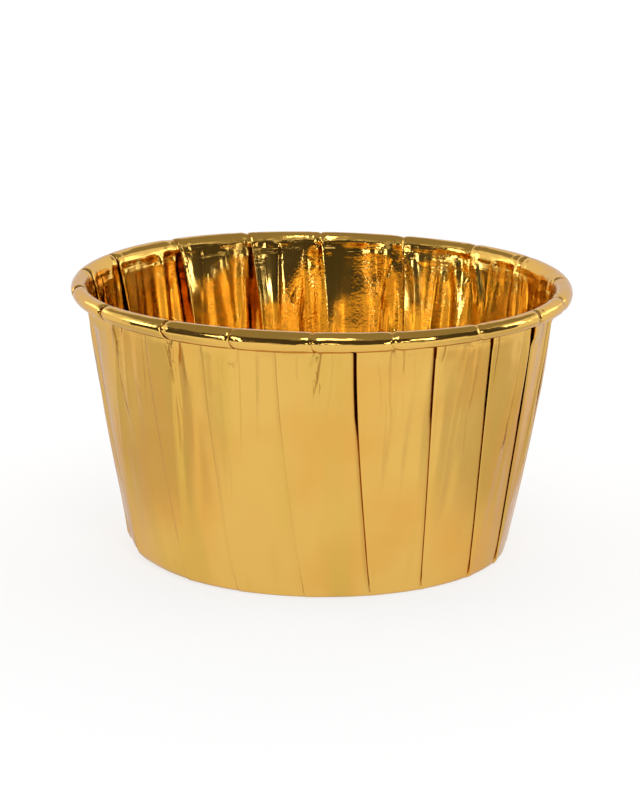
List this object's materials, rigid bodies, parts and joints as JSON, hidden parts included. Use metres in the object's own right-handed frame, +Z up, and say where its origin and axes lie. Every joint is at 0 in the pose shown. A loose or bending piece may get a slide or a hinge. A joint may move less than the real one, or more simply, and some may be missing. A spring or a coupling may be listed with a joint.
{
  "type": "cupcake liner",
  "caption": "Tapered round baking cup of gold foil-covered paper, with knife-pleated wall, flat bottom and outward-rolled rim.",
  "frame": {"origin": "centre of the underside of the flat bottom, which stands on the table", "axes": "+Z up along the cup's axis, out of its mouth; -Y is the side that faces the viewer in the picture"},
  "size_m": [0.069, 0.0688, 0.038],
  "materials": {
    "gold_foil_paper": "gloss"
  },
  "bodies": {
    "root": {"liner": "gold_foil_paper"}
  },
  "joints": []
}
